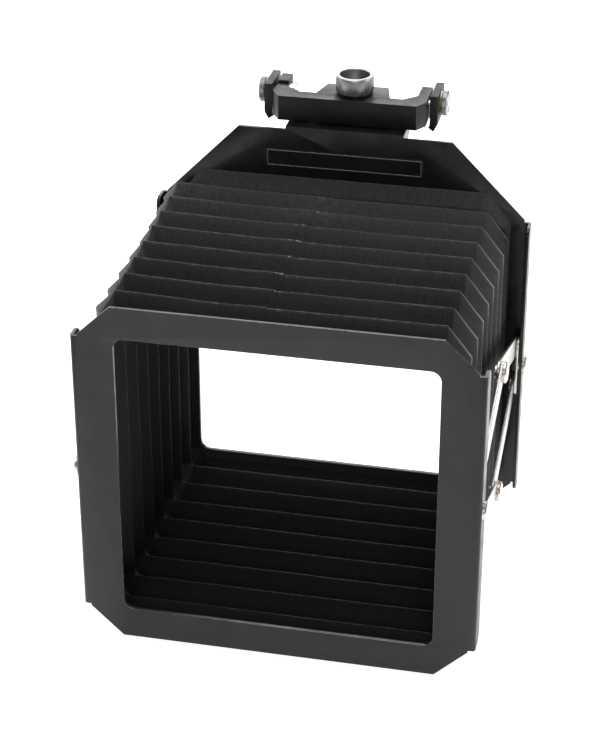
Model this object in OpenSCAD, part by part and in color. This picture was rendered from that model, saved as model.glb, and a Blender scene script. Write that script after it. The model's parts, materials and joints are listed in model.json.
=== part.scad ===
// Compendium lens hood: a pleated bellows between two sheet metal frames,
// carried by folding side arms, with a clamp bracket on the taller rear frame.
// +X is to the right, +Y runs from the front frame back, +Z is up.
// The origin is at the middle of the hood's footprint, on the surface it stands on.

/* [Hood] */
// Width over the side flanges
hood_w = 150; // [146:1:152]
// Distance between the front faces of the two frame plates
frame_pitch = 122.5; // [120:0.5:124]
// Thickness of the frame sheet
sheet = 1.2; // [1:0.1:1.4]

/* [Frames] */
// Height of the front frame
front_h = 139.8; // [138:0.1:141]
// Height of the rear frame
rear_h = 161.8; // [160:0.1:166]
// Half width of the rear frame's top edge
rear_top_half_w = 42.5; // [38:0.5:46]
// Half width of the bottom edges and of the front frame's top edge
edge_half_w = 59.8; // [58:0.1:61]
// Height of the lower corner chamfers
chamfer_h = 11.8; // [10:0.1:13]
// Width of the opening in the front frame
opening_w = 118; // [114:1:119]
// Width of the opening in the rear frame
rear_opening_w = 122; // [116:1:123]
// Height of the opening in each frame
opening_h = 115; // [112:1:116]
// Corner radius of the openings
opening_r = 4; // [2:0.5:8]
// Depth of the side flanges
flange_d = 9; // [8.5:0.25:9.5]
// Corner radius of the side flanges
flange_r = 4; // [2:0.5:5]

/* [Bellows] */
// Number of outward folds
ridges = 9; // [7:1:11]
// Half width of the bellows at an outward fold
ridge_half = 67; // [65:0.5:67.5]
// Half width of the bellows at an inward fold
valley_half = 59.8; // [59.5:0.1:61]
// Half height of the bellows at an outward fold
ridge_half_h = 66.5; // [65:0.5:67.5]
// Width of the corner chamfer at an outward fold
ridge_chamfer_w = 9.1; // [6:0.1:12]
// Height of the corner chamfer at an outward fold
ridge_chamfer_h = 11.5; // [6:0.1:13]
// Corner chamfer at an inward fold
valley_chamfer = 1.2; // [1:0.1:4]
// Distance from the first and the last outward fold to the end of the cloth
first_run = 2; // [1.5:0.1:4]
last_run = 4.5; // [3:0.1:6]
// Thickness of the bellows cloth
cloth = 0.6; // [0.5:0.1:0.7]
// Thickness of the glued end cuffs
cuff_t = 0.6; // [0.4:0.1:0.8]
// How much higher the rear cuff's top edge is than the folds
rear_cuff_extra = 5.8; // [0:0.1:7]

/* [Side arms] */
// Distance between the two pivots of an arm
arm_l = 58; // [57.5:0.1:60]
// Width of an arm
arm_w = 8.5; // [7:0.5:8.5]
// Thickness of an arm
arm_t = 1; // [0.8:0.1:1]
// Height between the upper and the lower pivot on a frame
pivot_spacing = 16.8; // [16:0.2:20]
// Distance of the frame pivots from the frame's outer plate face
pivot_inset = 6; // [6:0.1:6.5]
// Radius of the pivot pins
pin_r = 1.5; // [1.2:0.1:1.6]
// Radius of the rivet heads where a front and a rear arm meet
rivet_r = 4; // [3:0.25:4.25]
// Radius of the frame screw heads
screw_head_r = 3.75; // [3:0.25:4]

/* [Bracket] */
// Half width of the yoke over its two arms
yoke_half_w = 30.5; // [30:0.5:31]
// Thickness of the yoke's front web
web_t = 6.5; // [5:0.5:7]
// Thickness of the yoke's arms
yoke_arm_t = 4.3; // [4:0.1:4.5]
// Height of the yoke
yoke_h = 10; // [9:0.5:11]
// Width of the shelf that carries the yoke
shelf_w = 47; // [40:1:50]
// Depth of the shelf
shelf_d = 22; // [20:1:24]
// Thickness of a jaw plate
jaw_t = 3.2; // [3:0.1:3.5]
// Height of a jaw plate
jaw_h = 14.7; // [13:0.1:15]
// Length of a jaw plate
jaw_l = 16; // [14:0.5:17]

/* [Knobs] */
// Radius of the clamp knob
knob_r = 7.5; // [6.5:0.25:8]
// Height of the clamp knob
knob_h = 7; // [6:0.5:9]
// Radius of the hollow in the clamp knob
knob_bore_r = 5.8; // [5:0.1:6]
// Radius of the clamp knob's stud
stud_r = 2.5; // [2:0.1:3]
// Radius of the side knobs
side_knob_r = 5; // [4:0.25:5.5]
// Thickness of the side knobs
side_knob_t = 2.4; // [2:0.1:4]
// Radius of the side knobs' screws
side_screw_r = 1.5; // [1.2:0.1:2]

/* [Hidden] */
$fn = 64;

black_paint = [0.13, 0.13, 0.14];
charcoal_paint = [0.25, 0.25, 0.26];
black_cloth = [0.17, 0.17, 0.17];
dark_grey_paint = [0.29, 0.28, 0.28];
nickel = [0.78, 0.76, 0.72];
silver = [0.75, 0.75, 0.76];
brass = [0.72, 0.58, 0.32];

eps = 0.01;
// how far a cut runs past the faces that it opens
over = 1;
// gap between two arm layers, radial play of every pin that turns, and gap under its head
layer_gap = 0.3;
pin_play = 0.05;
head_gap = 0.1;

// the bracket's jaws reach furthest back: this far behind the rear plate's front face
jaw_back = 28;
y_front = -(frame_pitch + jaw_back) / 2;
y_rear = y_front + frame_pitch;

// frame plates
opening_z = front_h / 2;
side_x = hood_w / 2;
flange_in_x = side_x - sheet;
notch_gap = 1.6;
notch_x = flange_in_x - notch_gap;
chamfer_top = front_h - chamfer_h;
rear_shoulder = chamfer_top + 3.7;
bend_r = 1.4;
// the flanges stop this far short of the cut corners
flange_gap = 0.8;
flange_z0 = chamfer_h + flange_gap;
nameplate_w = 63;
nameplate_h = 7.8;
nameplate_t = 0.4;
nameplate_r = 0.8;
// from the rear plate's top edge down to the nameplate's middle
nameplate_drop = 12;

// side arms: the outer layer holds the front arms, the inner layer the rear arms
outer_x1 = flange_in_x - layer_gap;
outer_x0 = outer_x1 - arm_t;
inner_x1 = outer_x0 - layer_gap;
inner_x0 = inner_x1 - arm_t;
pivot_z = opening_z + 1;
front_pivot_y = y_front + pivot_inset;
rear_pivot_y = y_rear - pivot_inset;
half_run = (rear_pivot_y - front_pivot_y) / 2;
rise = sqrt(arm_l * arm_l - half_run * half_run);
node_y = (front_pivot_y + rear_pivot_y) / 2;
node_dz = pivot_spacing / 2 + rise;
screw_inset = 4.5;
pin_head_r = 2.6;
pin_head_t = 0.7;
boss_r = 3;
screw_r = 1.5;
screw_head_h = 1.9;
rivet_head_h = 1.8;

// bracket, measured from the rear plate's front face and from the shelf
shelf_z = rear_h + 0.2;
shelf_top = shelf_z + sheet;
// the shelf's ribs: how far they stop short of its back edge, and how far down they reach
rib_short = 4;
rib_drop = 9;
washer_t = 0.7;
washer_r = 6.5;
yoke_z = shelf_top + washer_t;
web_y = y_rear + 4.5;
yoke_back = y_rear + 26.5;
// the yoke's cut front corners, as their width and depth, and the fillets inside its arms
yoke_corner = [3, 5];
yoke_fillet = 5;
pad_h = 1.2;
block_y = web_y + web_t;
block_d = 11.3;
block_front_half = 14.8;
block_back_half = 12.2;
// the clamp block and its knob sit a little to the right of the middle
clamp_x = 1.2;
knob_y = y_rear + 14.5;
knob_washer_t = 0.5;
knob_floor = 1.6;
stud_nut_h = 4;
stud_nut_r = 5;
stud_below = 8;
knob_z = yoke_z + yoke_h + knob_washer_t + head_gap;
jaw_gap = 1.1;
jaw_x = yoke_half_w + jaw_gap;
jaw_z1 = yoke_z + yoke_h + 1.7;
// how much further back than the side knobs the jaws' middle is
jaw_shift = 0.5;
side_y = y_rear + 19.5;
side_z = yoke_z + 6.6;
side_washer_t = 0.5;
side_knob_x = jaw_x + jaw_t + side_washer_t + 2 * head_gap;
side_screw_end = 22.5;
side_nut_t = 2.2;
side_nut_r = 2.9;
pin_offset = 4.6;
pin_rise = 1;
guide_pin_r = 1.2;
// the guide pins start this much further out than the side screws, and stop inside the jaw
pin_short = 1.5;
pin_stop = 1;

module rounded_rect(w, h, r) {
    square([w - 2 * r, h], center = true);
    square([w, h - 2 * r], center = true);
    for (i = [-1, 1], j = [-1, 1]) translate([i * (w / 2 - r), j * (h / 2 - r)]) circle(r);
}

// turns a drawing in X and Z into a plate whose front face is at y
module upright(y, t) {
    translate([0, y + t, 0]) rotate([90, 0, 0]) linear_extrude(t) children();
}

module along_x(x0, x1, y, z, r) {
    translate([x0, y, z]) rotate([0, 90, 0]) cylinder(h = x1 - x0, r = r);
}

module along_z(z0, z1, x, y, r) {
    translate([x, y, z0]) cylinder(h = z1 - z0, r = r);
}

module on_side(side) {
    mirror([side < 0 ? 1 : 0, 0, 0]) children();
}

// a round-ended strip from pivot a to pivot b, which are points in Y and Z, drilled at both
module strip(x0, a, b, hole_a, hole_b) {
    run = b - a;
    angle = atan2(run[1], run[0]);
    translate([x0, a[0], a[1]]) rotate([angle, 0, 0]) rotate([90, 0, 90])
        linear_extrude(arm_t) difference() {
            union() {
                translate([0, -arm_w / 2]) square([norm(run), arm_w]);
                circle(arm_w / 2);
                translate([norm(run), 0]) circle(arm_w / 2);
            }
            circle(hole_a);
            translate([norm(run), 0]) circle(hole_b);
        }
}

/* ---- frames ---- */

// plate outline in X and Z: bottom edge, two lower chamfers, shoulders and top edge
module plate_outline(shoulder, top_z, top_half) {
    polygon([
        [-edge_half_w, 0], [edge_half_w, 0], [notch_x, chamfer_h], [notch_x, shoulder],
        [top_half, top_z], [-top_half, top_z], [-notch_x, shoulder], [-notch_x, chamfer_h]
    ]);
    translate([-(side_x - bend_r), flange_z0])
        square([2 * (side_x - bend_r), shoulder - flange_gap - flange_z0]);
}

// the bent side flange as an L in X and Y, open to +Y, with its free corners rounded
module flange(shoulder) {
    h = shoulder - flange_gap - flange_z0;
    intersection() {
        translate([0, 0, flange_z0]) linear_extrude(h) {
            difference() {
                translate([side_x - bend_r, bend_r]) circle(bend_r);
                translate([side_x - bend_r, bend_r]) circle(bend_r - sheet);
                translate([side_x - 2 * bend_r, bend_r]) square([2 * bend_r, bend_r]);
                translate([side_x - 2 * bend_r, 0]) square([bend_r, 2 * bend_r]);
            }
            translate([flange_in_x, bend_r]) square([sheet, flange_d - bend_r]);
        }
        translate([0, 0, flange_z0]) rotate([90, 0, 90]) linear_extrude(hood_w) {
            square([flange_d - flange_r, h]);
            translate([0, flange_r]) square([flange_d, h - 2 * flange_r]);
            for (z = [flange_r, h - flange_r]) translate([flange_d - flange_r, z]) circle(flange_r);
        }
    }
}

module opening_cut(y, w) {
    translate([0, 0, opening_z])
        upright(y - over, sheet + 2 * over) rounded_rect(w, opening_h, opening_r);
}

module front_frame() color(charcoal_paint) difference() {
    union() {
        upright(y_front, sheet) plate_outline(chamfer_top, front_h, edge_half_w);
        for (side = [-1, 1]) on_side(side) translate([0, y_front, 0]) flange(chamfer_top);
    }
    opening_cut(y_front, opening_w);
    for (side = [-1, 1]) on_side(side)
        along_x(flange_in_x - over, side_x + over, y_front + screw_inset, pivot_z,
            screw_r + pin_play);
}

module rear_frame() color(black_paint) difference() {
    union() {
        upright(y_rear, sheet) plate_outline(rear_shoulder, rear_h, rear_top_half_w);
        for (side = [-1, 1]) on_side(side)
            translate([0, y_rear + sheet, 0]) mirror([0, 1, 0]) flange(rear_shoulder);
        shelf();
    }
    opening_cut(y_rear, rear_opening_w);
    stud_hole(shelf_z, shelf_top);
    for (side = [-1, 1]) on_side(side)
        along_x(flange_in_x - over, side_x + over, y_rear - screw_inset, pivot_z,
            screw_r + pin_play);
}

// the tab bent back from the top edge, with two ribs that stiffen it from below
module shelf() {
    translate([-shelf_w / 2, y_rear, rear_h - sheet])
        cube([shelf_w, sheet, shelf_top - rear_h + sheet]);
    translate([-shelf_w / 2, y_rear, shelf_z]) cube([shelf_w, shelf_d, sheet]);
    for (side = [-1, 1]) on_side(side)
        translate([shelf_w / 2 - sheet, 0, 0]) rotate([90, 0, 90]) linear_extrude(sheet)
            polygon([
                [y_rear + sheet - eps, shelf_z], [y_rear + shelf_d - rib_short, shelf_z],
                [y_rear + sheet - eps, shelf_z - rib_drop]
            ]);
}

// the clamp stud's hole from z0 to z1, cut a little past both
module stud_hole(z0, z1) {
    along_z(z0 - over, z1 + over, clamp_x, knob_y, stud_r + pin_play);
}

module blank_nameplate() color(black_paint) {
    translate([0, 0, rear_h - nameplate_drop]) upright(y_rear - nameplate_t, nameplate_t)
        rounded_rect(nameplate_w, nameplate_h, nameplate_r);
}

/* ---- bellows ---- */

// an octagon in X and Z at depth y: w and h are its half sizes, cw and ch its chamfers
function octagon(y, w, h, cw, ch) = [
    for (p = [
        [w, -h + ch], [w, h - ch], [w - cw, h], [-w + cw, h],
        [-w, h - ch], [-w, -h + ch], [-w + cw, -h], [w - cw, -h]
    ]) [p[0], y, opening_z + p[1]]
];

// the bellows at depth y, where out is 0 at an inward and 1 at an outward fold
function ring(y, out, in_by) = octagon(y,
    valley_half + (ridge_half - valley_half) * out - in_by,
    valley_half + (ridge_half_h - valley_half) * out - in_by,
    valley_chamfer + (ridge_chamfer_w - valley_chamfer) * out - in_by / 2,
    valley_chamfer + (ridge_chamfer_h - valley_chamfer) * out - in_by / 2
);

bellows_y0 = y_front + sheet + cuff_t;
bellows_y1 = y_rear - cuff_t;
pleat = (bellows_y1 - bellows_y0 - first_run - last_run) / (ridges - 1);
// each section is a depth and how far out it is
bellows_sections = concat(
    [[bellows_y0, 1 - first_run / (pleat / 2)]],
    [for (i = [0 : 2 * (ridges - 1)]) [bellows_y0 + first_run + pleat * i / 2, 1 - i % 2]],
    [[bellows_y1, 1 - last_run / (pleat / 2)]]
);

module bellows() color(black_cloth) {
    n = len(bellows_sections);
    outer = [for (s = bellows_sections) each ring(s[0], s[1], 0)];
    inner = [for (s = bellows_sections) each ring(s[0], s[1], cloth)];
    wall = [for (k = [0 : n - 2], j = [0 : 7])
        [8 * k + j, 8 * k + (j + 1) % 8, 8 * (k + 1) + (j + 1) % 8, 8 * (k + 1) + j]];
    lining = [for (q = wall) [q[3] + 8 * n, q[2] + 8 * n, q[1] + 8 * n, q[0] + 8 * n]];
    front = [for (j = [0 : 7]) [j, 8 * n + j, 8 * n + (j + 1) % 8, (j + 1) % 8]];
    last = 8 * (n - 1);
    back = [for (j = [0 : 7])
        [last + j, last + (j + 1) % 8, 8 * n + last + (j + 1) % 8, 8 * n + last + j]];
    polyhedron(concat(outer, inner), concat(wall, lining, front, back));
}

// a flat band of cloth glued to a frame around its opening of width hole_w, raised at the top
module cuff(y, hole_w, top_extra) color(black_cloth) upright(y, cuff_t) difference() {
    w = ridge_half;
    h = ridge_half_h;
    polygon([for (p = octagon(0, w, h, ridge_chamfer_w, ridge_chamfer_h))
        [p[0], p[2] > opening_z ? p[2] + top_extra : p[2]]]);
    translate([0, opening_z]) rounded_rect(hole_w, opening_h, opening_r);
}

module bellows_front_cuff() cuff(y_front + sheet, opening_w, 0);
module bellows_rear_cuff() cuff(y_rear - cuff_t, rear_opening_w, rear_cuff_extra);

/* ---- side arms ---- */

function frame_pivot(y, up) = [y, pivot_z + up * pivot_spacing / 2];
function arm_node(up) = [node_y, pivot_z + up * node_dz];

// free on its pins at both ends
module front_arm(side, up) color(nickel) on_side(side)
    strip(outer_x0, frame_pivot(front_pivot_y, up), arm_node(up), pin_r + pin_play, pin_r + pin_play);

// tight on its rivet and free on the rear frame's pin
module rear_arm(side, up) color(nickel) on_side(side)
    strip(inner_x0, arm_node(up), frame_pivot(rear_pivot_y, up), pin_r, pin_r + pin_play);

// carries the upper and the lower pivot of one frame, and is screwed to its flange
module pivot_plate(side, y, screw_y, x0) color(nickel) on_side(side) difference() {
    union() {
        strip(x0, frame_pivot(y, -1), frame_pivot(y, 1), pin_r, pin_r);
        along_x(inner_x0, flange_in_x, screw_y, pivot_z, boss_r);
    }
    along_x(inner_x0 - over, flange_in_x + over, screw_y, pivot_z, screw_r);
}

// pins of the front frame: heads inside, shanks through the plate and the front arms
module front_pins(side) color(nickel) on_side(side) for (up = [-1, 1]) {
    z = frame_pivot(0, up)[1];
    along_x(inner_x0 - pin_head_t, inner_x0, front_pivot_y, z, pin_head_r);
    along_x(inner_x0 - eps, outer_x1 + head_gap, front_pivot_y, z, pin_r);
}

// pins of the rear frame: shanks from the plate inwards through the rear arms to their heads
module rear_pins(side) color(nickel) on_side(side) for (up = [-1, 1]) {
    z = frame_pivot(0, up)[1];
    along_x(inner_x0 - head_gap - pin_head_t, inner_x0 - head_gap, rear_pivot_y, z, pin_head_r);
    along_x(inner_x0 - head_gap - eps, outer_x1, rear_pivot_y, z, pin_r);
}

// a low domed head on a shank, along +X from x
module domed_head(x, y, z, r, h) {
    translate([x, y, z]) rotate([90, 0, 90]) rotate_extrude() polygon([
        [0, 0], [r, 0], [r, h * 0.45], [r * 0.93, h * 0.72], [r * 0.72, h * 0.92], [0, h]
    ]);
}

module frame_screw(side, y) color(nickel) on_side(side) {
    domed_head(side_x, y, pivot_z, screw_head_r, screw_head_h);
    along_x(inner_x0, side_x + eps, y, pivot_z, screw_r);
}

// joins a front and a rear arm: fixed in the rear arm, free in the front arm
module arm_rivet(side, up) color(nickel) on_side(side) {
    p = arm_node(up);
    domed_head(outer_x1 + head_gap, p[0], p[1], rivet_r, rivet_head_h);
    along_x(inner_x0 - pin_head_t, inner_x0 - head_gap, p[0], p[1], pin_head_r);
    along_x(inner_x0 - head_gap - eps, outer_x1 + head_gap + eps, p[0], p[1], pin_r);
}

/* ---- bracket ---- */

module swivel_washer() color(brass) difference() {
    along_z(shelf_top, shelf_top + washer_t, clamp_x, knob_y, washer_r);
    stud_hole(shelf_top, shelf_top + washer_t);
}

module stud_nut() color(nickel) difference() {
    translate([clamp_x, knob_y, shelf_z - stud_nut_h])
        cylinder(h = stud_nut_h, r = stud_nut_r, $fn = 6);
    stud_hole(shelf_z - stud_nut_h, shelf_z);
}

// U-shaped in plan: a front web with chamfered corners and an arm at each end
module yoke() color(dark_grey_paint) difference() {
    union() {
        translate([0, 0, yoke_z]) linear_extrude(yoke_h) {
            arm_in = yoke_half_w - yoke_arm_t;
            fillet_in = arm_in - yoke_fillet;
            fillet_y = block_y + yoke_fillet;
            polygon([
                [-yoke_half_w + yoke_corner[0], web_y], [yoke_half_w - yoke_corner[0], web_y],
                [yoke_half_w, web_y + yoke_corner[1]], [yoke_half_w, yoke_back],
                [arm_in, yoke_back], [arm_in, fillet_y], [fillet_in, block_y],
                [-fillet_in, block_y], [-arm_in, fillet_y],
                [-arm_in, yoke_back], [-yoke_half_w, yoke_back],
                [-yoke_half_w, web_y + yoke_corner[1]]
            ]);
        }
        // raised pad at the back of the left arm
        translate([-yoke_half_w, side_y - over, yoke_z + yoke_h - eps])
            cube([yoke_arm_t, yoke_back - side_y + over, pad_h]);
    }
    for (side = [-1, 1]) on_side(side) {
        along_x(side_screw_end, yoke_half_w + over, side_y, side_z, side_screw_r + pin_play);
        for (end = [-1, 1])
            along_x(side_screw_end, yoke_half_w + over, side_y + end * pin_offset,
                side_z + pin_rise, guide_pin_r + pin_play);
    }
}

module clamp_block() color(dark_grey_paint) difference() {
    translate([clamp_x, 0, yoke_z]) linear_extrude(yoke_h) polygon([
        [-block_front_half, block_y], [block_front_half, block_y],
        [block_back_half, block_y + block_d], [-block_back_half, block_y + block_d]
    ]);
    stud_hole(yoke_z, yoke_z + yoke_h);
}

module knob_washer() color(black_paint) difference() {
    along_z(yoke_z + yoke_h, yoke_z + yoke_h + knob_washer_t, clamp_x, knob_y, washer_r);
    stud_hole(yoke_z + yoke_h, yoke_z + yoke_h + knob_washer_t);
}

module clamp_knob() color(silver) translate([clamp_x, knob_y, knob_z]) rotate_extrude() {
    rim = 0.7;
    polygon([
        [stud_r, 0], [knob_r - 0.5, 0], [knob_r, 0.5], [knob_r, knob_h - rim],
        [knob_r - rim, knob_h], [knob_bore_r + 0.3, knob_h], [knob_bore_r, knob_h - 0.5],
        [knob_bore_r, knob_floor], [stud_r, knob_floor]
    ]);
}

module clamp_stud() color(nickel)
    along_z(shelf_z - stud_below, knob_z + knob_floor, clamp_x, knob_y, stud_r);

// jaw section in X and Z: a plate with a hooked claw along its lower edge
module jaw(side) color(black_paint) on_side(side) difference() {
    z0 = jaw_z1 - jaw_h;
    upright(side_y - jaw_l / 2 + jaw_shift, jaw_l) polygon([
        [jaw_x, jaw_z1], [jaw_x, z0 + 2], [jaw_x - 0.6, z0 + 1.5], [jaw_x + 1.6, z0],
        [jaw_x + jaw_t, z0 + 3], [jaw_x + jaw_t, jaw_z1]
    ]);
    along_x(jaw_x - over, jaw_x + jaw_t + over, side_y, side_z, side_screw_r + pin_play);
    for (end = [-1, 1])
        along_x(jaw_x - over, jaw_x + jaw_t - pin_stop, side_y + end * pin_offset,
            side_z + pin_rise, guide_pin_r);
}

module guide_pins(side) color(silver) on_side(side) for (end = [-1, 1])
    along_x(side_screw_end + pin_short, jaw_x + jaw_t - pin_stop, side_y + end * pin_offset,
        side_z + pin_rise, guide_pin_r);

module side_washer(side) color(brass) on_side(side) difference() {
    x = jaw_x + jaw_t + head_gap;
    along_x(x, x + side_washer_t, side_y, side_z, side_knob_r - 0.4);
    along_x(x - over, x + side_washer_t + over, side_y, side_z, side_screw_r + pin_play);
}

module side_knob(side) color(silver) on_side(side) translate([side_knob_x, side_y, side_z])
    rotate([90, 0, 90]) rotate_extrude() polygon([
        [side_screw_r, 0], [side_knob_r - 0.3, 0], [side_knob_r, 0.3],
        [side_knob_r, side_knob_t - 0.4], [side_knob_r - 0.4, side_knob_t],
        [side_screw_r, side_knob_t]
    ]);

module side_screw(side) color(silver) on_side(side)
    along_x(side_screw_end, side_knob_x + side_knob_t, side_y, side_z, side_screw_r);

module side_nut(side) color(silver) on_side(side) difference() {
    nut_x1 = yoke_half_w - yoke_arm_t;
    along_x(nut_x1 - side_nut_t, nut_x1, side_y, side_z, side_nut_r);
    along_x(nut_x1 - side_nut_t - over, nut_x1 + over, side_y, side_z, side_screw_r + pin_play);
}

rear_frame();
blank_nameplate();
bellows();
bellows_rear_cuff();
front_frame();
bellows_front_cuff();
pivot_plate(1, front_pivot_y, y_front + screw_inset, inner_x0);  // front_pivot_plate_right
pivot_plate(-1, front_pivot_y, y_front + screw_inset, inner_x0);  // front_pivot_plate_left
pivot_plate(1, rear_pivot_y, y_rear - screw_inset, outer_x0);  // rear_pivot_plate_right
pivot_plate(-1, rear_pivot_y, y_rear - screw_inset, outer_x0);  // rear_pivot_plate_left
front_pins(1);  // front_pins_right
front_pins(-1);  // front_pins_left
rear_pins(1);  // rear_pins_right
rear_pins(-1);  // rear_pins_left
frame_screw(1, y_front + screw_inset);  // front_screw_right
frame_screw(-1, y_front + screw_inset);  // front_screw_left
frame_screw(1, y_rear - screw_inset);  // rear_screw_right
frame_screw(-1, y_rear - screw_inset);  // rear_screw_left
front_arm(1, 1);  // arm_front_upper_right
front_arm(1, -1);  // arm_front_lower_right
rear_arm(1, 1);  // arm_rear_upper_right
rear_arm(1, -1);  // arm_rear_lower_right
front_arm(-1, 1);  // arm_front_upper_left
front_arm(-1, -1);  // arm_front_lower_left
rear_arm(-1, 1);  // arm_rear_upper_left
rear_arm(-1, -1);  // arm_rear_lower_left
arm_rivet(1, 1);  // rivet_upper_right
arm_rivet(1, -1);  // rivet_lower_right
arm_rivet(-1, 1);  // rivet_upper_left
arm_rivet(-1, -1);  // rivet_lower_left
swivel_washer();
stud_nut();
yoke();
clamp_block();
knob_washer();
clamp_knob();
clamp_stud();
jaw(1);  // jaw_right
jaw(-1);  // jaw_left
guide_pins(1);  // guide_pins_right
guide_pins(-1);  // guide_pins_left
side_knob(1);  // side_knob_right
side_knob(-1);  // side_knob_left
side_screw(1);  // side_screw_right
side_screw(-1);  // side_screw_left
side_washer(1);  // side_washer_right
side_washer(-1);  // side_washer_left
side_nut(1);  // side_nut_right
side_nut(-1);  // side_nut_left
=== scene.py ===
"""The compendium lens hood: cloth, paint, plated metal, light and camera around the CAD frame.

Lengths are in metres, and MM turns millimetres into them. +X is right, +Y runs back, +Z is up.
"""

import json
import math

import bmesh
import bpy
from mathutils import Matrix, Vector, noise

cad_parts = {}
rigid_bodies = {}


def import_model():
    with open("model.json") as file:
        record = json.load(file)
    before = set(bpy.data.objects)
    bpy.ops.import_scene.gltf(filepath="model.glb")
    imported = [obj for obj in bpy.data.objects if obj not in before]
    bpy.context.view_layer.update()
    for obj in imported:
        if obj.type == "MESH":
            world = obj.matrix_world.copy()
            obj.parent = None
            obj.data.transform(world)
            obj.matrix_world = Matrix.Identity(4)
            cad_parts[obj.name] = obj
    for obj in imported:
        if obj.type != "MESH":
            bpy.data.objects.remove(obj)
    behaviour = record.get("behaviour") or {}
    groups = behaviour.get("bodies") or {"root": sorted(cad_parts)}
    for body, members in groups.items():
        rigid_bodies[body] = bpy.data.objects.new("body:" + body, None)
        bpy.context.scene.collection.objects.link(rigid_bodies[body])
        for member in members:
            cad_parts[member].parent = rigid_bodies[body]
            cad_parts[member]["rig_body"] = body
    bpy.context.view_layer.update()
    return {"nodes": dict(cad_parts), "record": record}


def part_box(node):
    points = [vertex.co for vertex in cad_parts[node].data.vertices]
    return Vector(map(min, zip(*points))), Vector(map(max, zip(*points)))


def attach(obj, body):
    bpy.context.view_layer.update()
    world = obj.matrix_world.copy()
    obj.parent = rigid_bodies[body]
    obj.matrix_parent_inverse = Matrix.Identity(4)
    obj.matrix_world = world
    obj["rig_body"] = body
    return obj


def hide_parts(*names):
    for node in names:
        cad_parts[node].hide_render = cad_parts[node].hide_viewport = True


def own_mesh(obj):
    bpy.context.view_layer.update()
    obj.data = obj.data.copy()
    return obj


MM = 0.001

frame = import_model()
nodes = frame["nodes"]


# ---- camera ----

CAMERA_AT = Vector((149.3, -717.9, 476.9)) * MM
CAMERA_AZIMUTH = math.radians(12.31)
CAMERA_DOWN = math.radians(28.35)
SENSOR = 36.0
LENS = 103.56


def make_camera():
    data = bpy.data.cameras.new("camera")
    data.sensor_width = SENSOR
    data.lens = LENS
    data.clip_start = 0.01
    data.clip_end = 20
    camera = bpy.data.objects.new("camera", data)
    bpy.context.scene.collection.objects.link(camera)
    camera.location = CAMERA_AT
    camera.rotation_euler = (math.pi / 2 - CAMERA_DOWN, 0, CAMERA_AZIMUTH)
    bpy.context.scene.camera = camera


make_camera()


# ---- shader helpers ----


class Shader:
    """A material with a Principled surface and short ways to add the nodes that vary it."""

    def __init__(self, name, colour, roughness, metallic=0.0, specular=0.5):
        self.material = bpy.data.materials.new(name)
        self.material.use_nodes = True
        self.tree = self.material.node_tree
        self.surface = self.tree.nodes["Principled BSDF"]
        self.surface.inputs["Base Color"].default_value = (*colour, 1)
        self.surface.inputs["Roughness"].default_value = roughness
        self.surface.inputs["Metallic"].default_value = metallic
        self.surface.inputs["Specular IOR Level"].default_value = specular
        self.place = self.tree.nodes.new("ShaderNodeTexCoord").outputs["Object"]

    def node(self, kind, **settings):
        made = self.tree.nodes.new("ShaderNode" + kind)
        for key, value in settings.items():
            setattr(made, key, value)
        return made

    def put(self, socket, value):
        if isinstance(value, bpy.types.NodeSocket):
            self.tree.links.new(value, socket)
        else:
            socket.default_value = value

    def stretch(self, scale, source=None):
        """The place on the object in millimetres, multiplied by scale along each axis."""
        mapping = self.node("Mapping")
        self.put(mapping.inputs["Vector"], source or self.place)
        mapping.inputs["Scale"].default_value = [s / MM for s in scale]
        return mapping.outputs["Vector"]

    def noise(self, size, detail=3.0, stretch=(1, 1, 1), source=None, roughness=0.5):
        """Noise whose spots are about size millimetres across."""
        made = self.node("TexNoise")
        self.put(made.inputs["Vector"], self.stretch([s / size for s in stretch], source))
        made.inputs["Scale"].default_value = 1
        made.inputs["Detail"].default_value = detail
        made.inputs["Roughness"].default_value = roughness
        return made.outputs["Fac"]

    def attribute(self, name):
        return self.node("Attribute", attribute_name=name).outputs["Fac"]

    def calc(self, operation, a, b):
        made = self.node("Math", operation=operation)
        for socket, value in zip(made.inputs, (a, b)):
            self.put(socket, value)
        return made.outputs[0]

    def step(self, value, low, high, to_low=0.0, to_high=1.0):
        """value eased from to_low at low to to_high at high."""
        made = self.node("MapRange", interpolation_type="SMOOTHSTEP")
        for socket, number in zip(made.inputs, (value, low, high, to_low, to_high)):
            self.put(socket, number)
        return made.outputs[0]

    def blend(self, share, a, b):
        made = self.node("Mix", data_type="RGBA")
        self.put(made.inputs[0], share)
        self.put(made.inputs[6], a if isinstance(a, bpy.types.NodeSocket) else (*a, 1))
        self.put(made.inputs[7], b if isinstance(b, bpy.types.NodeSocket) else (*b, 1))
        return made.outputs[2]

    def bump(self, height, depth_mm, under=None):
        made = self.node("Bump")
        made.inputs["Distance"].default_value = depth_mm * MM
        made.inputs["Strength"].default_value = 1
        self.put(made.inputs["Height"], height)
        if under is not None:
            self.put(made.inputs["Normal"], under)
        return made.outputs["Normal"]

    def colour(self, value):
        self.put(self.surface.inputs["Base Color"], value)

    def roughness(self, value):
        self.put(self.surface.inputs["Roughness"], value)

    def normal(self, value):
        self.put(self.surface.inputs["Normal"], value)


# ---- materials ----


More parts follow.
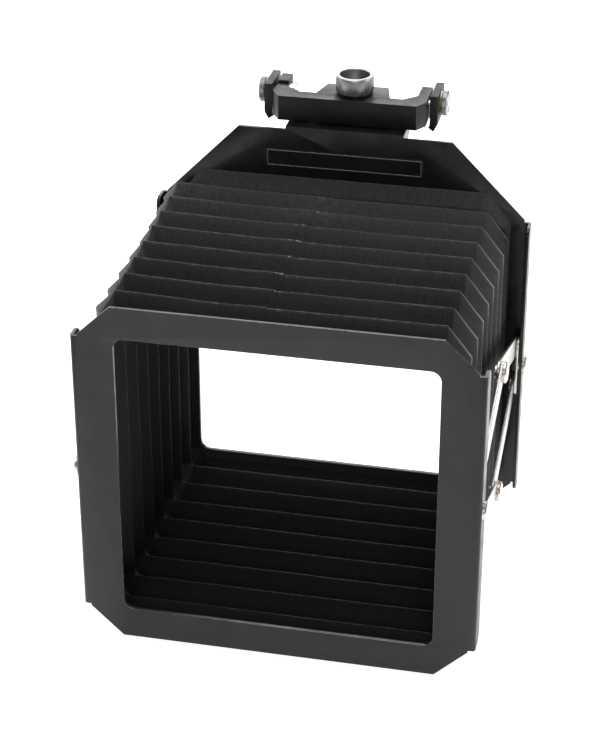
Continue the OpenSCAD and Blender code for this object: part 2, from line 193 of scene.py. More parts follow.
def paint(name, dark, light, worn_and_lit, roughness, specular, grain_mm, grain_depth, wear_from):
    """Sprayed paint on metal: a fine grain, faint cloudiness, dust specks, and edges rubbed lighter; on
    the front frame's charcoal paint the lighter edges are also a painted highlight.
    """
    m = Shader(name, dark, roughness, specular=specular)
    cloud = m.step(m.noise(18, 4), 0.35, 0.68)
    body = m.blend(cloud, dark, light)
    speck = m.step(m.noise(0.9, 2, roughness=0.7), 0.76, 0.8, 0, 0.5)
    body = m.blend(speck, body, worn_and_lit)
    patchy = m.step(m.noise(2.2, 5), wear_from, wear_from + 0.2)
    rubbed_and_lit = m.calc("MULTIPLY", m.attribute("edge"), patchy)
    m.colour(m.blend(rubbed_and_lit, body, worn_and_lit))
    m.roughness(m.step(m.noise(7, 5), 0.3, 0.7, roughness - 0.06, roughness + 0.08))
    m.normal(m.bump(m.noise(grain_mm, 2), grain_depth))
    return m.material


def plated(name, colour, stained, roughness, lay=(1, 1, 1)):
    """Plated or turned metal: fine marks that run along one axis, light stains, and soft scratches."""
    m = Shader(name, colour, roughness, metallic=1.0)
    stain = m.step(m.noise(8, 4), 0.48, 0.85)
    m.colour(m.blend(m.calc("MULTIPLY", stain, 0.5), colour, stained))
    marks = m.noise(0.35, 2, stretch=lay)
    dull = m.calc("ADD", m.calc("MULTIPLY", marks, 0.5), m.calc("MULTIPLY", stain, 0.4))
    m.roughness(m.step(dull, 0.2, 0.8, roughness - 0.03, roughness + 0.08))
    m.normal(m.bump(marks, 0.006))
    return m.material


def bellows_cloth():
    """Black leatherette: woven grain, painted light growing towards the back, fold lines rubbed and lit
    by a painted highlight, corners greyed and paled by painted light and rubbing, and a darker lining.
    """
    m = Shader("bellows_cloth", (0.012, 0.012, 0.013), 0.6, specular=0.25)
    flat = m.node("UVMap", uv_map="cloth").outputs["UV"]
    along = m.noise(1, 2, stretch=(2.2, 0.22, 1), source=flat)
    across = m.noise(1, 2, stretch=(0.25, 2.4, 1), source=flat)
    grain = m.noise(0.6, 3, roughness=0.65)
    weave = m.calc("ADD", m.calc("MULTIPLY", along, 0.6), m.calc("MULTIPLY", across, 0.4))
    mixed = m.calc("ADD", m.calc("MULTIPLY", weave, 0.5), m.calc("MULTIPLY", grain, 0.5))
    shade = m.step(mixed, 0.38, 0.62)
    body = m.blend(shade, (0.0045, 0.0045, 0.005), (0.018, 0.018, 0.0192))
    faded = m.step(m.noise(26, 4), 0.4, 0.7, 0, 0.45)
    body = m.blend(faded, body, (0.019, 0.019, 0.0205))
    # painted light: the cloth is drawn lighter towards the back and on the raised rear cuff
    painted_back_lightening = m.calc("MULTIPLY", m.attribute("painted_back_light"), m.step(shade, 0, 1, 0.5, 1))
    body = m.blend(painted_back_lightening, body, (0.06, 0.06, 0.065))
    inside = m.attribute("inside")
    body = m.blend(inside, body, (0.0115, 0.0115, 0.012))
    # the outward folds are rubbed a little and lit by a painted highlight, with gaps, and the inward
    # ones show faintly inside
    broken = m.step(m.noise(3.2, 4, roughness=0.7), 0.42, 0.62, 0.15, 0.75)
    rubbed_and_lit = m.calc("MULTIPLY", m.attribute("fold"), broken)
    body = m.blend(m.calc("MULTIPLY", rubbed_and_lit, m.step(inside, 0, 1, 1, 0.4)), body, (0.11, 0.11, 0.11))
    # painted light greys the cloth beside the upper corners, and the flat facets there are pale, partly
    # rubbed and partly painted light, which reaches further on the left
    mottle = m.step(grain, 0.36, 0.64, 0.45, 1)
    body = m.blend(m.calc("MULTIPLY", m.attribute("slope"), mottle), body, (0.034, 0.034, 0.0355))
    body = m.blend(m.calc("MULTIPLY", m.attribute("facet"), mottle), body, (0.26, 0.26, 0.26))
    # soft smears beside the lapped seam, and a few pale spots where it crosses the folds
    smear = m.calc("MULTIPLY", m.attribute("smear"), m.step(m.noise(3, 6, roughness=0.75), 0.42, 0.7))
    body = m.blend(m.calc("MULTIPLY", smear, 0.55), body, (0.1, 0.1, 0.1))
    crossing = m.calc("MULTIPLY", m.attribute("lap"), m.attribute("fold"))
    spots = m.calc("MULTIPLY", crossing, m.step(m.noise(1.9, 2), 0.55, 0.62))
    m.colour(m.blend(spots, body, (0.45, 0.45, 0.44)))
    m.roughness(m.step(grain, 0.35, 0.65, 0.5, 0.72))
    m.normal(m.bump(weave, 0.09, m.bump(grain, 0.11)))
    return m.material


def make_materials():
    return {
        "black_paint": paint("black_paint", (0.007, 0.007, 0.0075), (0.011, 0.011, 0.0115),
                             (0.07, 0.07, 0.07), roughness=0.3, specular=0.42,
                             grain_mm=0.5, grain_depth=0.006, wear_from=0.5),
        # the front frame's edges are paler and wider: partly rubbed, partly a painted highlight
        "charcoal_paint": paint("charcoal_paint", (0.009, 0.0091, 0.0097), (0.012, 0.0122, 0.013),
                                (0.34, 0.34, 0.34), roughness=0.34, specular=0.4,
                                grain_mm=0.45, grain_depth=0.008, wear_from=0.34),
        "bracket_paint": paint("bracket_paint", (0.0035, 0.0034, 0.0033), (0.0075, 0.0073, 0.0071),
                               (0.2, 0.19, 0.18), roughness=0.42, specular=0.36,
                               grain_mm=0.55, grain_depth=0.05, wear_from=0.5),
        "jaw_paint": paint("jaw_paint", (0.007, 0.007, 0.007), (0.012, 0.012, 0.012),
                           (0.1, 0.1, 0.1), roughness=0.5, specular=0.45,
                           grain_mm=0.6, grain_depth=0.04, wear_from=0.54),
        "nickel": plated("nickel", (0.66, 0.645, 0.61), (0.56, 0.53, 0.48), 0.34, (1, 0.15, 1)),
        "rivet_nickel": plated("rivet_nickel", (0.74, 0.67, 0.63), (0.5, 0.4, 0.35), 0.3, (0.3, 3, 3)),
        "bright_steel": plated("bright_steel", (0.68, 0.68, 0.68), (0.5, 0.49, 0.47), 0.26,
                               (0.4, 2, 2)),
        "knurled_aluminium": plated("knurled_aluminium", (0.4, 0.4, 0.4), (0.33, 0.33, 0.33), 0.36),
        "brass": plated("brass", (0.42, 0.35, 0.23), (0.26, 0.2, 0.12), 0.42),
        "plate_line": plated("plate_line", (0.3, 0.3, 0.3), (0.12, 0.12, 0.12), 0.45),
        "bellows_cloth": bellows_cloth(),
    }


materials = make_materials()


# ---- mesh helpers ----


def finish_mesh(made, name, sharp=None):
    """Turns the bmesh into a mesh. Given sharp, it is smooth except across edges above that angle."""
    mesh = bpy.data.meshes.new(name)
    made.to_mesh(mesh)
    made.free()
    if sharp is not None:
        mesh.shade_smooth()
        mesh.set_sharp_from_angle(angle=sharp)
    return mesh


def add_piece(name, mesh, body, slot, replaces=(), material=None):
    """Links a mesh as a piece that rides on body and takes its finish from the record's slot."""
    piece = bpy.data.objects.new(name, mesh)
    bpy.context.scene.collection.objects.link(piece)
    mesh.materials.clear()
    mesh.materials.append(materials[material or slot])
    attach(piece, body)
    if replaces:
        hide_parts(*replaces)
    return piece


def record_slot(node):
    return next(s["material_slot"] for s in frame["record"]["subparts"] if s["node"] == node)


SHARP = math.radians(28)


def edged(node, width_mm, segments=2, material=None):
    """Stands for a CAD node with the same shape, whose sharp edges are broken by a small round."""
    made = bmesh.new()
    made.from_mesh(nodes[node].data)
    bmesh.ops.remove_doubles(made, verts=made.verts, dist=0.002 * MM)
    bmesh.ops.dissolve_limit(made, angle_limit=math.radians(0.6), verts=made.verts, edges=made.edges)
    edge = made.faces.layers.float.new("edge")
    corners = [e for e in made.edges if e.is_manifold and e.calc_face_angle(0) > SHARP]
    result = bmesh.ops.bevel(made, geom=corners, offset=width_mm * MM, offset_type="OFFSET",
                             segments=segments, profile=0.5, affect="EDGES", clamp_overlap=True)
    for face in result["faces"]:
        face[edge] = 1
    name = node + "_finished"
    mesh = finish_mesh(made, name, SHARP)
    return add_piece(name, mesh, nodes[node]["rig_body"], record_slot(node), [node], material)


def plain(node, material=None):
    """A CAD node that keeps its own mesh and gets its finish."""
    mesh = nodes[node].data
    mesh.materials.clear()
    mesh.materials.append(materials[material or record_slot(node)])
    mesh.shade_smooth()
    mesh.set_sharp_from_angle(angle=SHARP)


# ---- metal parts ----

SIDES = ("right", "left")
LEVELS = ("upper", "lower")

edged("front_frame", 0.22)
edged("rear_frame", 0.22)
edged("yoke", 0.3)
edged("clamp_block", 0.35)
for side in SIDES:
    edged(f"jaw_{side}", 0.25)
    for level in LEVELS:
        edged(f"arm_front_{level}_{side}", 0.14)
        edged(f"arm_rear_{level}_{side}", 0.14)
        plain(f"rivet_{level}_{side}", "rivet_nickel")
    for end in ("front", "rear"):
        edged(f"{end}_pivot_plate_{side}", 0.12)
        plain(f"{end}_pins_{side}")
        plain(f"{end}_screw_{side}")
    plain(f"guide_pins_{side}")
    plain(f"side_screw_{side}")
    plain(f"side_washer_{side}")
    plain(f"side_nut_{side}")
plain("swivel_washer")
plain("stud_nut")
plain("knob_washer")
plain("clamp_stud")


# ---- knurled knobs ----

# teeth of each knurl, and how deep they are cut, in mm
CLAMP_TEETH, CLAMP_KNURL = 62, 0.28
SIDE_TEETH, SIDE_KNURL = 48, 0.16
# the clamp knob's hollow: its radius as a share of the knob's, and the floor's thickness in mm
HOLLOW_SHARE = 0.773
HOLLOW_FLOOR = 1.6
TURNED_SHARP = math.radians(24)


def turned(name, profile, teeth, depth_mm, place):
    """A ring turned from profile, points (radius, height, knurl) in mm from the inside foot round to
    the inside top. The knurl cuts straight teeth into the points whose third value is 1. place is the
    matrix that stands the ring's axis where it belongs."""
    steps = 4 * teeth
    made = bmesh.new()
    rings = []
    for radius, height, knurl in profile:
        ring = []
        for i in range(steps):
            angle = 2 * math.pi * i / steps
            cut = depth_mm * knurl if i % 4 in (2, 3) else 0
            r = (radius - cut) * MM
            at = Vector((r * math.cos(angle), r * math.sin(angle), height * MM))
            ring.append(made.verts.new(place @ at))
        rings.append(ring)
    for k, ring in enumerate(rings):
        following = rings[(k + 1) % len(rings)]
        for i in range(steps):
            j = (i + 1) % steps
            made.faces.new((ring[i], ring[j], following[j], following[i]))
    bmesh.ops.recalc_face_normals(made, faces=made.faces)
    return finish_mesh(made, name, TURNED_SHARP)


def clamp_knob():
    """A cup: knurled side, wide chamfer on the rim, and a hollow with a flat floor round the stud."""
    low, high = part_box("clamp_knob")
    radius, height = (high.x - low.x) / 2 / MM, (high.z - low.z) / MM
    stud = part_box("clamp_stud")
    stud_r = (stud[1].x - stud[0].x) / 2 / MM
    bore = HOLLOW_SHARE * radius
    floor = HOLLOW_FLOOR
    profile = [
        (stud_r, 0, 0), (radius - 0.7, 0, 0), (radius - 0.25, 0.35, 0), (radius - 0.2, 0.8, 0),
        (radius - 0.05, 0.95, 1), (radius, 1.1, 1), (radius, height - 1.3, 1),
        (radius - 0.05, height - 1.15, 1), (radius - 0.12, height - 1.05, 0),
        (radius - 0.15, height - 0.75, 0), (radius - 0.35, height - 0.35, 0),
        (radius - 0.8, height - 0.05, 0), (radius - 1, height, 0), (bore + 0.3, height, 0),
        (bore + 0.05, height - 0.25, 0), (bore, height - 0.5, 0), (bore, floor + 0.5, 0),
        (bore - 0.5, floor, 0), (stud_r + 0.2, floor, 0), (stud_r, floor - 0.2, 0),
    ]
    place = Matrix.Translation(((low.x + high.x) / 2, (low.y + high.y) / 2, low.z))
    mesh = turned("clamp_knob_knurled", profile, CLAMP_TEETH, CLAMP_KNURL, place)
    add_piece("clamp_knob_knurled", mesh, "clamp_knob", "knurled_aluminium", ["clamp_knob"])


def side_knob(side):
    """A thin disc with a finely knurled rim between two chamfers, and a shallow turned face."""
    low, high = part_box(f"side_knob_{side}")
    radius, thick = (high.z - low.z) / 2 / MM, (high.x - low.x) / MM
    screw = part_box(f"side_screw_{side}")
    bore = (screw[1].z - screw[0].z) / 2 / MM
    profile = [
        (bore, 0, 0), (radius - 0.45, 0, 0), (radius - 0.15, 0.2, 0), (radius, 0.4, 1),
        (radius, thick - 0.55, 1), (radius - 0.15, thick - 0.3, 0), (radius - 0.5, thick, 0),
        (radius - 1.3, thick, 0), (radius - 1.5, thick - 0.15, 0), (bore + 0.5, thick - 0.15, 0),
        (bore, thick - 0.15, 0),
    ]
    outward = 1 if side == "right" else -1
    start = low.x if outward > 0 else high.x
    place = (Matrix.Translation((start, (low.y + high.y) / 2, (low.z + high.z) / 2))
             @ Matrix.Rotation(outward * math.pi / 2, 4, "Y"))
    mesh = turned(f"side_knob_{side}_knurled", profile, SIDE_TEETH, SIDE_KNURL, place)
    add_piece(f"side_knob_{side}_knurled", mesh, f"side_knob_{side}", "knurled_aluminium",
              [f"side_knob_{side}"])


clamp_knob()
for side in SIDES:
    side_knob(side)


# ---- nameplate, left blank ----


def rounded_rectangle(width, height, radius, steps=6):
    """Points in X and Z, in metres, anticlockwise round the origin."""
    points = []
    for quarter, (sx, sz) in enumerate(((1, 1), (-1, 1), (-1, -1), (1, -1))):
        for i in range(steps + 1):
            angle = math.pi / 2 * (quarter + i / steps)
            points.append(((sx * (width / 2 - radius) + radius * math.cos(angle)),
                           (sz * (height / 2 - radius) + radius * math.sin(angle))))
    return points


def band(outlines):
    """A bmesh from outlines of equally many points, each a list of 3-D points, joined in order, and
    the vertices of each outline."""
    made = bmesh.new()
    rings = [[made.verts.new(p) for p in outline] for outline in outlines]
    for ring, following in zip(rings, rings[1:]):
        for i in range(len(ring)):
            j = (i + 1) % len(ring)
            made.faces.new((ring[i], ring[j], following[j], following[i]))
    return made, rings


def nameplate():
    """A thin plate with a slightly raised bright line near its edge."""
    low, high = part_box("blank_nameplate")
    centre_x, centre_z = (low.x + high.x) / 2, (low.z + high.z) / 2
    width, height = high.x - low.x, high.z - low.z

    def outline(inset_mm, out_mm):
        radius = max(0.8 - inset_mm, 0.25) * MM
        shape = rounded_rectangle(width - 2 * inset_mm * MM, height - 2 * inset_mm * MM, radius)
        return [Vector((centre_x + x, high.y - out_mm * MM, centre_z + z)) for x, z in shape]

    made, rings = band([outline(0, 0), outline(0, 0.28), outline(0.1, 0.34), outline(0.55, 0.34)])
    made.faces.new(rings[-1])
    made.faces.new(list(reversed(rings[0])))
    bmesh.ops.recalc_face_normals(made, faces=made.faces)
    mesh = finish_mesh(made, "nameplate_blank")
    add_piece("nameplate_blank", mesh, "rear_frame", "black_paint", ["blank_nameplate"])

    steps = ((0.55, 0.33), (0.6, 0.4), (0.95, 0.4), (1, 0.33), (0.55, 0.33))
    made, rings = band([outline(inset, out) for inset, out in steps])
    bmesh.ops.remove_doubles(made, verts=made.verts, dist=0.001 * MM)
    bmesh.ops.recalc_face_normals(made, faces=made.faces)
    mesh = finish_mesh(made, "nameplate_line")
    add_piece("nameplate_line", mesh, "rear_frame", "black_paint", material="plate_line")


nameplate()


# ---- bellows ----

CLOTH = 0.6 * MM
PLEATS = 9
RIDGE_CHAMFER = (9.1 * MM, 11.5 * MM)
VALLEY_HALF = 59.8 * MM
VALLEY_CHAMFER = 1.2 * MM
FIRST_RUN = 2 * MM
LAST_RUN = 4.5 * MM
# the lapped seam along the top, in shares of half the top's width: its edge, how wide the upper
# layer lies over the lower one, and by how much it is raised
LAP_EDGE = -0.121
LAP_WIDTH = 0.22
LAP_LIFT = 0.4
# the smears beside the seam start this many half pleats behind the first fold
SMEAR_FROM = 13.4
# how far from the glued ends the cloth is slack, and how far slackness can move it
GLUE_REACH = 8 * MM
SLACK_LIMIT = 0.45 * MM
# the left side has stretched: how far its wall, the lower and the upper end of its upper corner facet
# stand further out than the right side's, in mm, in front and at the back, and how much higher the
# lower end is. The back value of the lower end starts only behind the folded arms' reach.
LEFT_WALL = 3.0
LEFT_FACET_LOW = (3.3, 6.1)
LEFT_FACET_TOP = (4.4, 9.0)
LEFT_FACET_RISE = 5.5
LEFT_TOP_RISE = 1.4
ARM_REACH_BACK = 5 * MM
FACET_HALF = 0.5 * MM
# how far the pale corner facets reach in front of an outward fold, on the left and on the right; the
# wider reach on the left is painted light falling from the left
FACET_FRONT = (3.0 * MM, 0.5 * MM)

bellows_low, bellows_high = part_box("bellows")
RIDGE_HALF_W = (bellows_high.x - bellows_low.x) / 2
RIDGE_HALF_H = (bellows_high.z - bellows_low.z) / 2
CENTRE_Z = (bellows_high.z + bellows_low.z) / 2
Y_FRONT, Y_BACK = bellows_low.y, bellows_high.y
PLEAT = (Y_BACK - Y_FRONT - FIRST_RUN - LAST_RUN) / (PLEATS - 1)


def shares(fine, count):
    """Places from -1 to 1 along a side: count even steps, and closer ones at both ends."""
    even = [-1 + 2 * i / count for i in range(1, count)]
    return sorted({-1, 1, *even, *[-1 + f for f in fine], *[1 - f for f in fine]})


def perimeter(half_w, half_h, cut_w, cut_h):
    """Points (x, z) round the section: top, right, bottom and left sides, and the chamfers between.
    Every section has the same number of points, so that sections join one to one."""
    top = sorted(shares((0.008, 0.025, 0.06), 26) + [LAP_EDGE - 0.004, LAP_EDGE + 0.004])
    side = shares((0.01, 0.03, 0.07), 20)
    chamfer = (0.06, 0.3, 0.5, 0.7, 0.94)
    a = half_w - cut_w
    b = half_h - cut_h
    corners = [(-1, 1), (1, 1), (1, -1), (-1, -1)]
    sides = [
        [(s * a, half_h, "top", s) for s in top],
        [(half_w, -s * b, "side", s) for s in side],
        [(-s * a, -half_h, "bottom", s) for s in top],
        [(-half_w, s * b, "side", s) for s in side],
    ]
    points = []
    for k, run in enumerate(sides):
        points += run
        x0, z0 = run[-1][:2]
        x1, z1 = sides[(k + 1) % 4][0][:2]
        points += [(x0 + (x1 - x0) * t, z0 + (z1 - z0) * t, "chamfer", t) for t in chamfer]
    return points


def fold_runs():
    """Depths of the sections. The folds are rounded: close sections step round each one."""
    near = (0.0, 0.05, 0.12, 0.3, 0.6, 0.8)
    folds = [Y_FRONT + FIRST_RUN + PLEAT * i / 2 for i in range(2 * PLEATS - 1)]
    found = [at + n * PLEAT / 4 for at in folds for n in {-n for n in near} | set(near)]
    found = {round(y, 7) for y in found if Y_FRONT < y < Y_BACK}
    tail = {round(folds[-1] + share * LAST_RUN, 7) for share in (0.45, 0.7, 1)}
    return sorted(found | {Y_FRONT} | tail)


def outness(y, flat=0.0):
    """0 at an inward fold and 1 at an outward fold, eased round each fold. Within flat of an outward
    fold the cloth stays out."""
    turn = (y - Y_FRONT - FIRST_RUN) / PLEAT
    saw = abs((turn + 0.5) % 1 - 0.5) * 2
    level = 2 * flat / PLEAT
    saw = max(0.0, saw - level) / (1 - level)
    soft = 0.045
    high = math.sqrt(saw * saw + soft * soft) - soft
    low = math.sqrt((1 - saw) ** 2 + soft * soft) - soft
    return 1 - high if saw < 0.5 else low


def closeness(value, reach):
    return max(0.0, 1 - abs(value) / reach)


def facet_half_width(kind, s, x, z):
    """Half the width in Y of the flat facet that bridges an outward fold at an upper corner: nothing
    at the facet's top end, widest at its lower end, and closing again down the side."""
    if z < 0 or kind in ("top", "bottom"):
        return 0
    if kind == "side":
        towards_top = s if x < 0 else -s
        return FACET_HALF * max(0.0, 1 - (1 - towards_top) / 0.22)
    down = s if x > 0 else 1 - s
    return FACET_HALF * (0.15 + 0.85 * down ** 0.7)


def between(pair, share):
    return pair[0] + (pair[1] - pair[0]) * share


def left_stretch(y, out, kind, s, upper):
    """Shifts (outward, up) in mm of a point on the left half of the section at depth y."""
    share = (y - Y_FRONT) / (Y_BACK - Y_FRONT)
    late = max(0.0, (y - ARM_REACH_BACK) / (Y_BACK - ARM_REACH_BACK))
    low = LEFT_WALL + (between(LEFT_FACET_LOW, late) - LEFT_WALL) * out
    top = LEFT_WALL + (between(LEFT_FACET_TOP, share) - LEFT_WALL) * out
    rise = LEFT_FACET_RISE * out
    if kind == "chamfer":
        if not upper:
            return LEFT_WALL, 0
        return between((low, top), s), between((rise, LEFT_TOP_RISE * out), s)
    if kind == "side":
        # s runs up the left side from -1 at its lower end to 1 at the facet
        near = max(0.0, (s - 0.35) / 0.65) ** 2
        return LEFT_WALL + (low - LEFT_WALL) * near, rise * (s + 1) / 2
    if kind == "bottom":
        return LEFT_WALL * abs(s) ** 1.5, 0
    return top * abs(s) ** 1.5, LEFT_TOP_RISE * out * abs(s) ** 1.5


def lap_lift(s):
    """How far the lapped seam's upper layer is raised at s along the top."""
    if not LAP_EDGE - LAP_WIDTH < s <= LAP_EDGE:
        return 0
    return LAP_LIFT * min(1, (s - LAP_EDGE + LAP_WIDTH) / (0.5 * LAP_WIDTH)) * MM


def outwards(kind, x, z):
    """The direction in which the cloth's thickness and its sag are laid off."""
    if kind == "chamfer":
        return Vector((math.copysign(0.7, x), 0, math.copysign(0.7, z)))
    if kind == "side":
        return Vector((math.copysign(1, x), 0, 0))
    return Vector((0, 0, math.copysign(1, z)))


def cloth_point(y, at_ridge, at_valley, inward):
    """A point of the skin that lies inward of the outer one at depth y, between the section of the
    outward folds and that of the inward ones. The cloth's slackness fades out at the glued ends."""
    ridge_x, ridge_z, kind, s = at_ridge
    out = outness(y, facet_half_width(kind, s, ridge_x, ridge_z))
    x = at_valley[0] + (ridge_x - at_valley[0]) * out
    z = at_valley[1] + (ridge_z - at_valley[1]) * out
    held = min(1, (y - Y_FRONT) / GLUE_REACH, (Y_BACK - y) / GLUE_REACH)
    middle = 1 - s * s if kind != "chamfer" else 0
    number = round((y - Y_FRONT) / (PLEAT / 2))
    drift = noise.noise(Vector((number * 3.7, s * 1.3, len(kind))))
    slow = noise.noise(Vector((x / 30 / MM, y / 9 / MM, z / 30 / MM)))
    fine = noise.noise(Vector((x / 7 / MM, y / 4 / MM + 40, z / 7 / MM)))
    if x < 0:
        outward, rise = left_stretch(y, out, kind, s, z > 0)
        stretched = min(1, (y - Y_FRONT) / (6 * MM), (Y_BACK - y) / (4 * MM))
        x -= stretched * outward * MM
        z += stretched * rise * MM
    sag = held * (0.4 * middle * slow + 0.1 * fine) * MM
    shift = held * (0.3 * drift + 0.3 * middle * slow) * MM
    lap = lap_lift(s) if kind == "top" and inward == 0 else 0
    off = max(-SLACK_LIMIT, min(SLACK_LIMIT, sag)) - inward + lap * held
    along = y + max(-SLACK_LIMIT, min(SLACK_LIMIT, shift))
    place = Vector((x, along, z)) + outwards(kind, x, z) * off
    return place + Vector((0, 0, CENTRE_Z))


def mark_cloth(vert, layers, y, at_ridge, inward):
    """Writes what the cloth's material reads: fold lines, corners greyed and paled by painted light and
    rubbing, the seam, and painted light growing towards the back.
    """
    x, z, kind, s = at_ridge
    turn = (y - Y_FRONT - FIRST_RUN) / (PLEAT / 2)
    nearest = round(turn)
    is_ridge = nearest % 2 == 0
    line = closeness((turn - nearest) * PLEAT / 2, 0.62 * MM)
    if inward:
        vert[layers["fold"]] = line if not is_ridge else 0
        vert[layers["inside"]] = 1
        return
    # how far in front of the nearest outward fold this depth is
    ahead = (2 * round(turn / 2) - turn) * PLEAT / 2
    flat = facet_half_width(kind, s, x, z)
    share = flat / FACET_HALF
    reach = share * (FACET_FRONT[0 if x < 0 else 1] if ahead > 0 else FACET_HALF)
    worn_and_lit = min(1, max(0, (reach - abs(ahead)) / (0.4 * MM) + 0.5))
    vert[layers["fold"]] = line if is_ridge and not flat else 0
    # the corner facets are pale, partly rubbed and partly painted light; slope greys the cloth beside
    # the corners with painted light
    vert[layers["facet"]] = worn_and_lit * share ** 0.3
    vert[layers["slope"]] = share
    # painted light, stronger towards the back of the bellows
    vert[layers["painted_back_light"]] = max(0, (y - Y_FRONT) / (Y_BACK - Y_FRONT)) ** 2
    if kind == "top":
        vert[layers["lap"]] = closeness(s - LAP_EDGE, 0.07)
        vert[layers["smear"]] = closeness(s - LAP_EDGE - 0.02, 0.3) * (turn > SMEAR_FROM)


def bellows():
    """One tube of cloth, an outer and an inner skin with closed ends, in nine pleats."""
    ridge = perimeter(RIDGE_HALF_W, RIDGE_HALF_H, *RIDGE_CHAMFER)
    valley = perimeter(VALLEY_HALF, VALLEY_HALF, VALLEY_CHAMFER, VALLEY_CHAMFER)
    count = len(ridge)
    depths = fold_runs()
    made = bmesh.new()
    layers = {name: made.verts.layers.float.new(name) for name in
              ("fold", "facet", "slope", "inside", "lap", "smear", "painted_back_light")}
    uv = made.loops.layers.uv.new("cloth")
    skins = []
    for inward in (0, CLOTH):
        rings = []
        for y in depths:
            ring = []
            for at_ridge, at_valley in zip(ridge, valley):
                vert = made.verts.new(cloth_point(y, at_ridge, at_valley, inward))
                mark_cloth(vert, layers, y, at_ridge, inward)
                ring.append(vert)
            rings.append(ring)
        skins.append(rings)

    # places on the flat cloth: round the outward folds, and down from fold to fold
    around = [0.0]
    for k in range(count):
        around.append(around[-1] + math.dist(ridge[k][:2], ridge[(k + 1) % count][:2]))
    down = [0.0]
    for y0, y1 in zip(depths, depths[1:]):
        rise = (outness(y1) - outness(y0)) * (RIDGE_HALF_H - VALLEY_HALF)
        down.append(down[-1] + math.hypot(y1 - y0, rise))

    def stitch(a, b, row, flip):
        for k in range(count):
            j = (k + 1) % count
            corners = [(a[k], k, row), (a[j], k + 1, row), (b[j], k + 1, row + 1), (b[k], k, row + 1)]
            if flip:
                corners.reverse()
            face = made.faces.new([v for v, _, _ in corners])
            for loop, (_, u, v) in zip(face.loops, corners):
                loop[uv].uv = (around[u], down[min(v, len(down) - 1)])

    for rings, flip in zip(skins, (False, True)):
        for row, (a, b) in enumerate(zip(rings, rings[1:])):
            stitch(a, b, row, flip)
    stitch(skins[0][0], skins[1][0], 0, True)
    stitch(skins[0][-1], skins[1][-1], len(down) - 2, False)
    bmesh.ops.recalc_face_normals(made, faces=made.faces)
    mesh = finish_mesh(made, "bellows_cloth", math.radians(60))
    piece = add_piece("bellows_cloth", mesh, "rear_frame", "bellows_cloth", ["bellows"])
    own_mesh(piece)


# ---- cuffs ----

OPENING_HEIGHT = 115 * MM
OPENING_RADIUS = 4 * MM
# a raised cuff's slope, in shares of the way from the opening to the cuff's outer edge: where the
# cloth leaves the plate, how soon it is fully out, and where it starts to come back in
SLOPE_START = 0.46
SLOPE_RUN = 0.09
SLOPE_PEAK = 0.62
# only the top of a cuff slopes: from this share of the folds' half height, and fully a tenth higher
SLOPE_ABOVE = 0.85
SLOPE_EASE = 0.1
CUFF_SHARES = (0.04, 0.25, 0.46, 0.56, 0.62, 0.66, 0.7, 0.78, 0.88, 0.96)


def opening_point(x, z, half_w, half_h):
    """Where the line from the middle through (x, z) meets the opening's outline."""
    reach = min(half_w / max(abs(x), 1e-9), half_h / max(abs(z), 1e-9))
    px, pz = x * reach, z * reach
    cx, cz = half_w - OPENING_RADIUS, half_h - OPENING_RADIUS
    if abs(px) > cx and abs(pz) > cz:
        away = Vector((abs(px) - cx, abs(pz) - cz))
        away = away.normalized() * OPENING_RADIUS
        px = math.copysign(cx + away.x, px)
        pz = math.copysign(cz + away.y, pz)
    return px, pz


def slope_out(share):
    """How far the cloth stands out: none at its upper edge, all just above the last fold."""
    if share > SLOPE_PEAK:
        return (1 - share) / (1 - SLOPE_PEAK)
    return min(1, max(0, (share - SLOPE_START) / SLOPE_RUN))


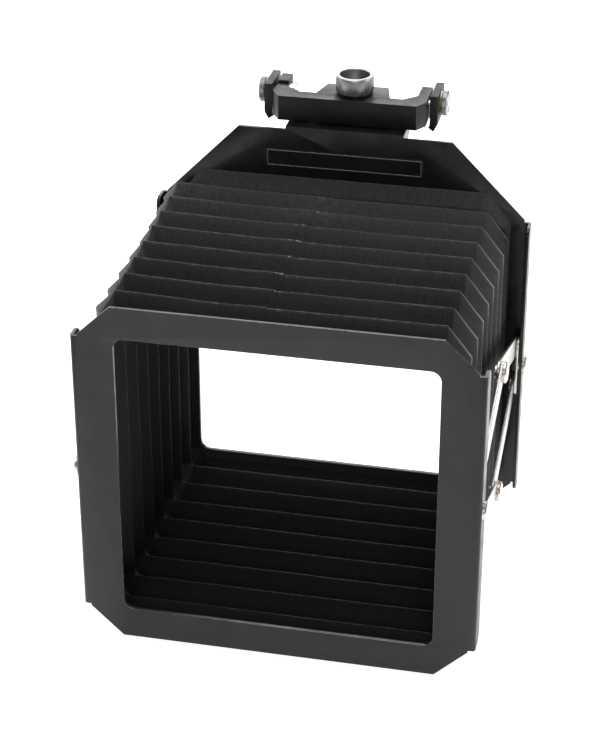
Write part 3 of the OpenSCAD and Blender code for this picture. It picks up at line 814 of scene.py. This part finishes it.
def cuff(end, opening_width, bulge):
    """A band of the same cloth, glued round the opening, with soft cut edges and a few ripples. Where
    it is raised at the top it slopes out from its upper edge to the bellows, by bulge at the most."""
    node = f"bellows_{end}_cuff"
    low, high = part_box(node)
    glued, free = (high.y, low.y) if end == "rear" else (low.y, high.y)
    glue_way = math.copysign(1, glued - free)
    raised = high.z - CENTRE_Z - RIDGE_HALF_H
    lifted = [(x, z + raised if z > 0 else z)
              for x, z, _, _ in perimeter(RIDGE_HALF_W, RIDGE_HALF_H, *RIDGE_CHAMFER)]
    half_w, half_h = opening_width / 2, OPENING_HEIGHT / 2
    inner = [opening_point(x, z, half_w, half_h) for x, z in lifted]

    def outline(share, y, ripple):
        ring = []
        for (x0, z0), (x1, z1) in zip(inner, lifted):
            x, z = x0 + (x1 - x0) * share, z0 + (z1 - z0) * share
            wave = ripple * 0.12 * MM * (1 + noise.noise(Vector((x / 6 / MM, z / 6 / MM, y))))
            above = (z1 - SLOPE_ABOVE * RIDGE_HALF_H) / (SLOPE_EASE * RIDGE_HALF_H)
            out = bulge * min(1, max(0, above)) * slope_out(share)
            ring.append(Vector((x, y + glue_way * (wave - out), CENTRE_Z + z)))
        return ring

    outlines = [outline(0, glued, 0), outline(0.01, free, 0.9)]
    outlines += [outline(share, free, 1) for share in CUFF_SHARES]
    outlines += [outline(0.99, free, 0.9), outline(1, glued, 0)]
    outlines += [outline(share, glued, 0) for share in reversed(CUFF_SHARES)]
    outlines += [outline(0, glued, 0)]
    made, _ = band(outlines)
    bmesh.ops.remove_doubles(made, verts=made.verts, dist=0.0005 * MM)
    bmesh.ops.recalc_face_normals(made, faces=made.faces)
    edge_line = made.verts.layers.float.new("fold")
    painted_back_light = made.verts.layers.float.new("painted_back_light")
    made.verts.ensure_lookup_table()
    top_z = CENTRE_Z + RIDGE_HALF_H + raised
    for vert in made.verts:
        # a fold line at half strength along the cuff's top edge: partly rubbing, partly a painted
        # highlight
        vert[edge_line] = 0.5 * closeness(top_z - vert.co.z, 0.4 * MM)
        # the raised rear cuff gets the same painted light as the back of the bellows
        vert[painted_back_light] = 1 if bulge else 0
    uv = made.loops.layers.uv.new("cloth")
    for face in made.faces:
        for corner in face.loops:
            corner[uv].uv = (corner.vert.co.x, corner.vert.co.z)
    area = sum(f.calc_area() for f in made.faces) / 2
    mesh = finish_mesh(made, f"{end}_cuff_cloth", math.radians(50))
    piece = add_piece(f"{end}_cuff_cloth", mesh, f"{end}_frame", "bellows_cloth", [node])


bellows()
cuff("front", 118 * MM, 0)
cuff("rear", 122 * MM, 3.6 * MM)


# ---- floor and light ----


def floor():
    m = Shader("white_floor", (0.86, 0.86, 0.86), 0.55, specular=0.2)
    m.colour(m.blend(m.noise(60, 2), (0.85, 0.85, 0.85), (0.88, 0.88, 0.88)))
    m.surface.inputs["Emission Color"].default_value = (1, 1, 1, 1)
    m.surface.inputs["Emission Strength"].default_value = 0.8
    half = 6
    made = bmesh.new()
    corners = ((-1, -1), (1, -1), (1, 1), (-1, 1))
    made.faces.new([made.verts.new((sx * half, sy * half, 0)) for sx, sy in corners])
    mesh = finish_mesh(made, "floor")
    mesh.materials.append(m.material)
    stage = bpy.data.objects.new("floor", mesh)
    bpy.context.scene.collection.objects.link(stage)


def area_light(name, at, towards, size, power):
    data = bpy.data.lights.new(name, "AREA")
    data.shape = "RECTANGLE"
    data.size, data.size_y = size
    data.energy = power
    light = bpy.data.objects.new(name, data)
    bpy.context.scene.collection.objects.link(light)
    light.location = at
    light.rotation_euler = (Vector(towards) - Vector(at)).to_track_quat("-Z", "Y").to_euler()


def world():
    made = bpy.data.worlds.new("studio")
    made.use_nodes = True
    made.node_tree.nodes["Background"].inputs["Color"].default_value = (1, 1, 1, 1)
    made.node_tree.nodes["Background"].inputs["Strength"].default_value = 0.14
    bpy.context.scene.world = made


floor()
world()
middle = (0, 0, 0.08)
area_light("behind", (-0.15, 1.05, 0.85), middle, (1.3, 0.8), 13)
area_light("overhead", (-0.1, 0.1, 1.2), middle, (0.8, 0.8), 5)
area_light("front", (0.3, -1.5, 1.0), middle, (0.9, 0.9), 4)
area_light("left", (-1.1, 0.2, 0.6), middle, (0.6, 0.6), 3)
area_light("right", (1.1, 0.2, 0.5), middle, (0.6, 0.6), 3)

bpy.context.scene.view_settings.view_transform = "Standard"
